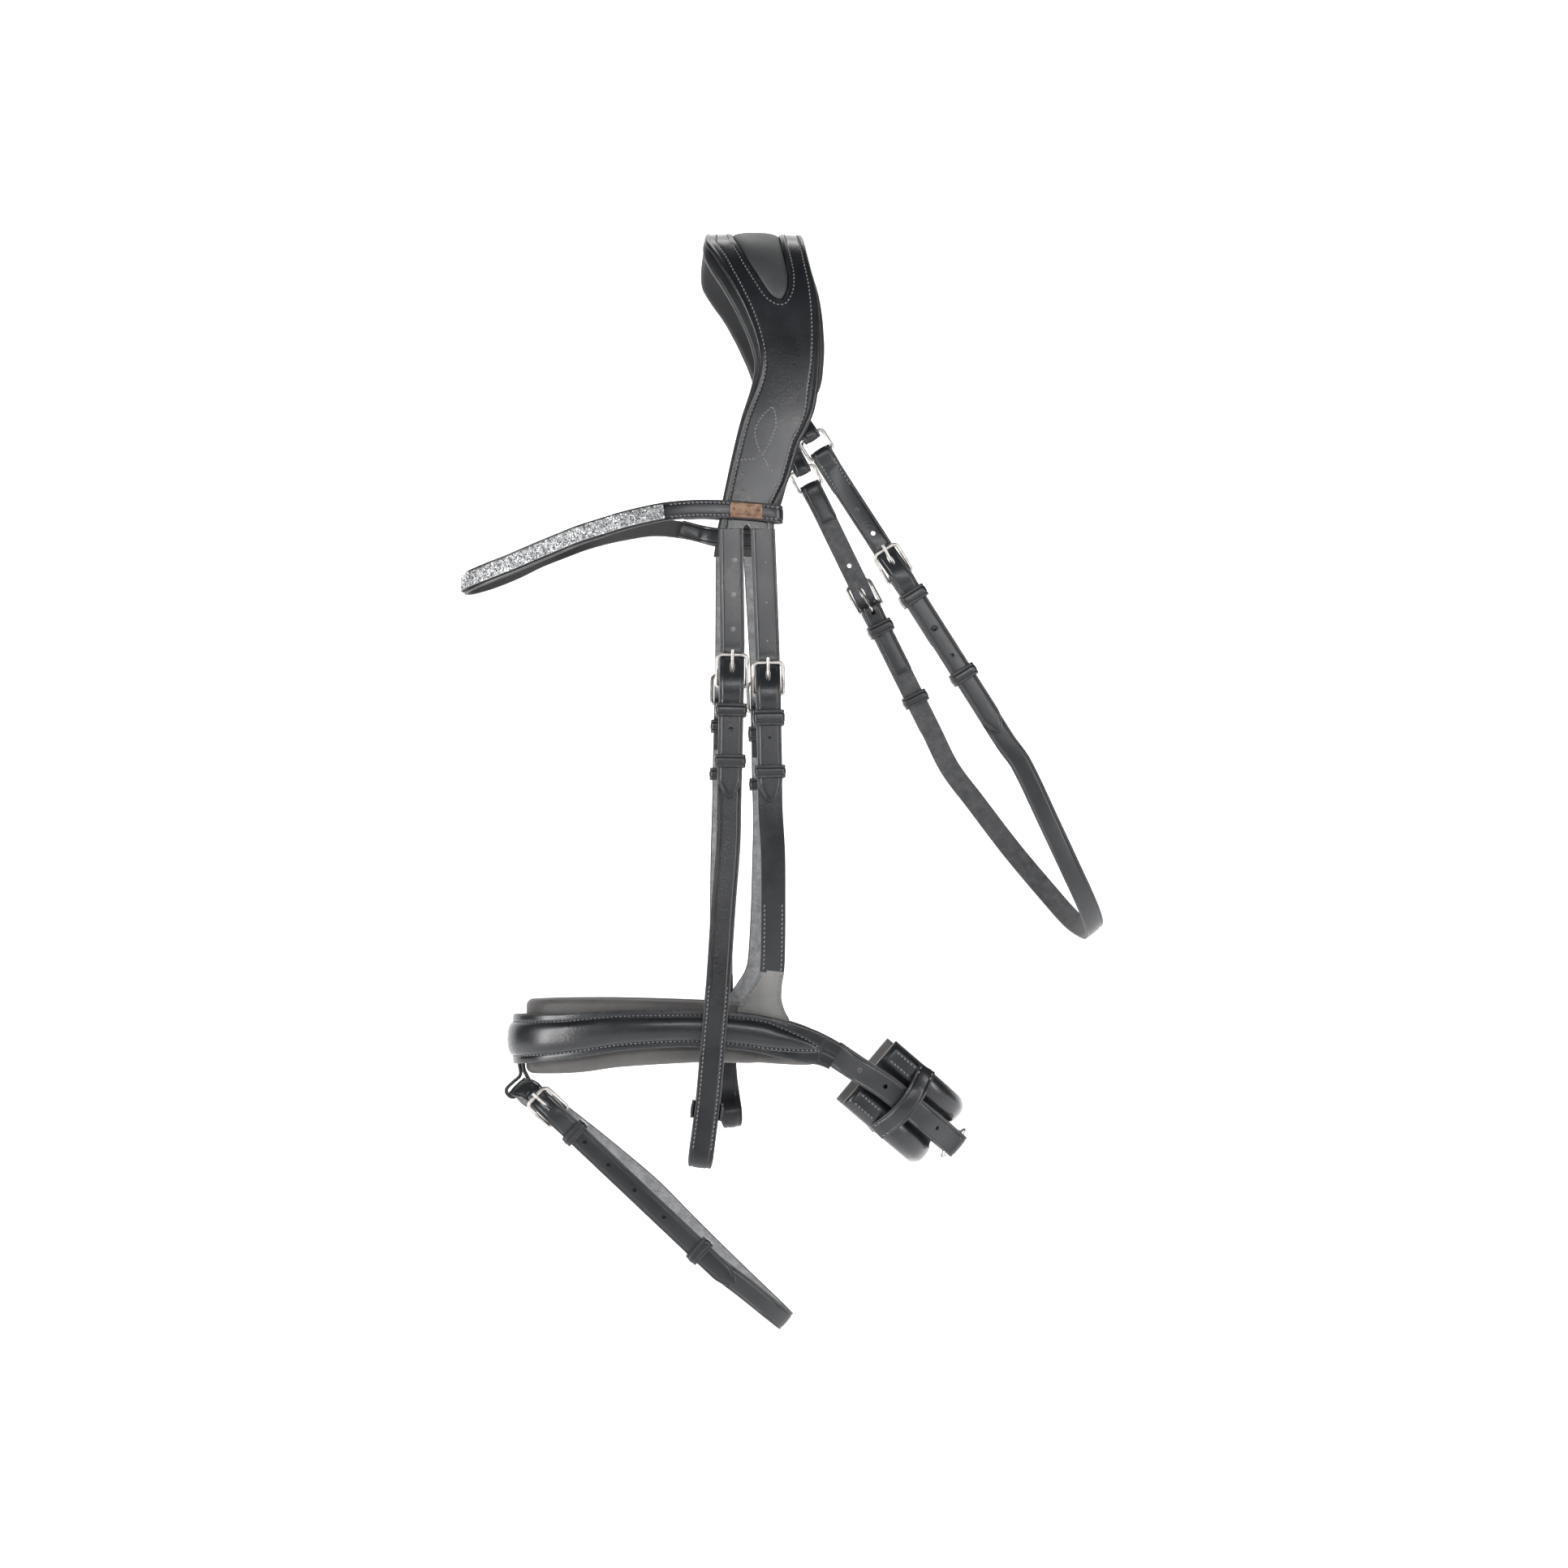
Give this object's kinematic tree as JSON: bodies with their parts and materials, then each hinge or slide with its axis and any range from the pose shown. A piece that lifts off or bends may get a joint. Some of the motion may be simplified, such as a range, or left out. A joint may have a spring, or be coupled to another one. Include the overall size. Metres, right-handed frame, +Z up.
{
  "type": "snaffle bridle",
  "caption": "Black leather snaffle bridle without bit or reins: padded headpiece, sparkling browband, buckled cheekpieces, crank noseband with flash, and throatlash.",
  "frame": {"origin": "the underside of the headpiece at its crest, midway between the two sides, where a bridle bracket or the horse's poll carries it", "axes": "+Z up, -X towards the front of the horse's head, -Y the near (left) side, +Y the far side"},
  "size_m": [0.3623, 0.1242, 0.6174],
  "materials": {
    "black_leather": "smooth, lightly glossy",
    "soft_lining": "soft matte grain",
    "nickel": "polished nickel silver",
    "copper_plate": "satin copper",
    "crystal": "sparkling chips"
  },
  "bodies": {
    "root": {"headpiece_leather": "black_leather", "headpiece_padding": "soft_lining", "poll_insert_pad": "soft_lining", "noseband_leather": "black_leather", "noseband_padding": "soft_lining", "jaw_pad": "soft_lining", "crank_strap": "black_leather", "crank_chape": "black_leather", "crank_buckle_frame": "nickel", "flash_loop": "black_leather", "near_noseband_billet": "black_leather", "near_noseband_hanger": "black_leather", "near_noseband_buckle_frame": "nickel", "near_noseband_fixed_keeper": "black_leather", "near_throat_tab": "black_leather", "far_noseband_billet": "black_leather", "far_noseband_hanger": "black_leather", "far_noseband_buckle_frame": "nickel", "far_noseband_fixed_keeper": "black_leather", "far_throat_tab": "black_leather"},
    "browband": {"browband_leather": "black_leather", "browband_crystal_strip": "crystal", "browband_nameplate": "copper_plate"},
    "near_cheek": {"near_cheek_billet": "black_leather", "near_cheekpiece": "black_leather", "near_cheek_buckle_frame": "nickel", "near_cheek_fixed_keeper": "black_leather", "near_bit_keeper": "black_leather"},
    "near_cheek_prong": {"near_cheek_buckle_prong": "nickel"},
    "near_cheek_runner": {"near_cheek_runner": "black_leather"},
    "near_noseband_prong": {"near_noseband_buckle_prong": "nickel"},
    "near_noseband_runner": {"near_noseband_runner": "black_leather"},
    "throatlash": {"near_throat_ring": "nickel", "near_throat_billet": "black_leather", "near_throat_buckle_frame": "nickel", "near_throat_fixed_keeper": "black_leather", "far_throat_ring": "nickel", "far_throat_billet": "black_leather", "far_throat_buckle_frame": "nickel", "far_throat_fixed_keeper": "black_leather", "throatlash_strap": "black_leather"},
    "near_throat_prong": {"near_throat_buckle_prong": "nickel"},
    "near_throat_runner": {"near_throat_runner": "black_leather"},
    "far_cheek": {"far_cheek_billet": "black_leather", "far_cheekpiece": "black_leather", "far_cheek_buckle_frame": "nickel", "far_cheek_fixed_keeper": "black_leather", "far_bit_keeper": "black_leather"},
    "far_cheek_prong": {"far_cheek_buckle_prong": "nickel"},
    "far_cheek_runner": {"far_cheek_runner": "black_leather"},
    "far_noseband_prong": {"far_noseband_buckle_prong": "nickel"},
    "far_noseband_runner": {"far_noseband_runner": "black_leather"},
    "far_throat_prong": {"far_throat_buckle_prong": "nickel"},
    "far_throat_runner": {"far_throat_runner": "black_leather"},
    "flash": {"flash_strap": "black_leather", "flash_buckle_frame": "nickel", "flash_fixed_keeper": "black_leather"},
    "flash_prong": {"flash_buckle_prong": "nickel"},
    "flash_runner": {"flash_runner": "black_leather"},
    "crank_roller": {"crank_roller": "nickel"}
  },
  "joints": [
    {"name": "browband_slide", "type": "slide", "parent": "root", "child": "browband", "axis": [0, 0, 1], "range_m": [-0.008, 0]},
    {"name": "near_cheek_swing", "type": "hinge", "parent": "root", "child": "near_cheek", "pos_m": [-0.0156, -0.0562, -0.1675], "axis": [-1, 0, 0], "range_deg": [0, 30]},
    {"name": "near_cheek_tongue", "type": "hinge", "parent": "near_cheek", "child": "near_cheek_prong", "pos_m": [-0.0156, -0.0541, -0.2533], "axis": [0.9998, 0, -0.02], "range_deg": [0, 3]},
    {"name": "near_cheek_runner_slide", "type": "slide", "parent": "near_cheek", "child": "near_cheek_runner", "axis": [-0.02, 0, -0.9998], "range_m": [-0.008, 0.008]},
    {"name": "near_noseband_tongue", "type": "hinge", "parent": "root", "child": "near_noseband_prong", "pos_m": [0.0044, -0.0541, -0.2575], "axis": [0.9998, 0, 0.02], "range_deg": [0, 3]},
    {"name": "near_noseband_runner_slide", "type": "slide", "parent": "root", "child": "near_noseband_runner", "axis": [0.02, 0, -0.9998], "range_m": [-0.008, 0.008]},
    {"name": "near_throat_tongue", "type": "hinge", "parent": "throatlash", "child": "near_throat_prong", "pos_m": [0.077, -0.052, -0.1923], "axis": [0.8449, 0, 0.5349], "range_deg": [0, 3]},
    {"name": "near_throat_runner_slide", "type": "slide", "parent": "throatlash", "child": "near_throat_runner", "axis": [0.5349, 0, -0.8449], "range_m": [-0.008, 0.008]},
    {"name": "far_cheek_swing", "type": "hinge", "parent": "root", "child": "far_cheek", "pos_m": [-0.0156, 0.0562, -0.1675], "axis": [1, 0, 0], "range_deg": [0, 30]},
    {"name": "far_cheek_tongue", "type": "hinge", "parent": "far_cheek", "child": "far_cheek_prong", "pos_m": [-0.0156, 0.0541, -0.2533], "axis": [-0.9998, 0, 0.02], "range_deg": [0, 3]},
    {"name": "far_cheek_runner_slide", "type": "slide", "parent": "far_cheek", "child": "far_cheek_runner", "axis": [-0.02, 0, -0.9998], "range_m": [-0.008, 0.008]},
    {"name": "far_noseband_tongue", "type": "hinge", "parent": "root", "child": "far_noseband_prong", "pos_m": [0.0058, 0.0541, -0.2575], "axis": [-0.9998, 0, -0.02], "range_deg": [0, 3]},
    {"name": "far_noseband_runner_slide", "type": "slide", "parent": "root", "child": "far_noseband_runner", "axis": [0.02, 0, -0.9998], "range_m": [-0.008, 0.008]},
    {"name": "far_throat_tongue", "type": "hinge", "parent": "throatlash", "child": "far_throat_prong", "pos_m": [0.069, 0.052, -0.1973], "axis": [-0.8956, 0, -0.4448], "range_deg": [0, 3]},
    {"name": "far_throat_runner_slide", "type": "slide", "parent": "throatlash", "child": "far_throat_runner", "axis": [0.4448, 0, -0.8956], "range_m": [-0.008, 0.008]},
    {"name": "throatlash_swing", "type": "hinge", "parent": "root", "child": "throatlash", "pos_m": [0.0283, 0, -0.1149], "axis": [0, 1, 0], "range_deg": [-8, 8]},
    {"name": "flash_swing", "type": "hinge", "parent": "root", "child": "flash", "pos_m": [-0.1328, 0, -0.4721], "axis": [0, 1, 0], "range_deg": [-5, 5]},
    {"name": "flash_tongue", "type": "hinge", "parent": "flash", "child": "flash_prong", "pos_m": [-0.1096, -0.015, -0.4885], "axis": [0.6858, 0, 0.7278], "range_deg": [0, 3]},
    {"name": "flash_runner_slide", "type": "slide", "parent": "flash", "child": "flash_runner", "axis": [0.7278, 0, -0.6858], "range_m": [-0.007, 0.007]},
    {"name": "crank_roller_spin", "type": "hinge", "parent": "root", "child": "crank_roller", "pos_m": [0.10928, -0.013, -0.50341], "axis": [0.6494, 0, 0.7604], "continuous": true}
  ]
}
